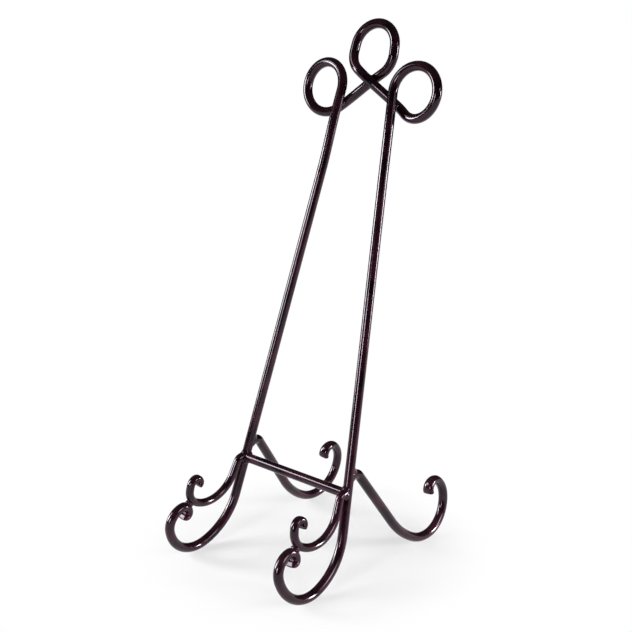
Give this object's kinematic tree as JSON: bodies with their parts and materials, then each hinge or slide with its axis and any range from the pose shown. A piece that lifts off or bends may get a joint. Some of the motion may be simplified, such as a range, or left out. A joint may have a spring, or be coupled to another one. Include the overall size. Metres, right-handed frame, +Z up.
{
  "type": "photo album stand",
  "caption": "Leaning display easel of dark painted bent rod: scrolled feet and hooks hold an open album against two uprights that wind into a crown of loops.",
  "frame": {"origin": "on the floor, in the middle of the stand's outline seen from above", "axes": "+Z up, -Y towards the front where the album is seen, +X to the right seen from the front"},
  "size_m": [0.1258, 0.1906, 0.3837],
  "materials": {
    "dark_enamel": "glossy espresso-brown enamel over bent steel rod"
  },
  "bodies": {
    "root": {"crown": "dark_enamel", "crossbar": "dark_enamel", "crown_left_weld": "dark_enamel", "crown_top_weld": "dark_enamel", "crown_right_weld": "dark_enamel", "left_front_foot": "dark_enamel", "left_upright": "dark_enamel", "left_album_hook": "dark_enamel", "left_rear_leg": "dark_enamel", "left_crossbar_weld": "dark_enamel", "left_hook_weld": "dark_enamel", "left_hook_tack_weld": "dark_enamel", "left_rear_leg_weld": "dark_enamel", "right_front_foot": "dark_enamel", "right_upright": "dark_enamel", "right_album_hook": "dark_enamel", "right_rear_leg": "dark_enamel", "right_crossbar_weld": "dark_enamel", "right_hook_weld": "dark_enamel", "right_hook_tack_weld": "dark_enamel", "right_rear_leg_weld": "dark_enamel"}
  },
  "joints": []
}
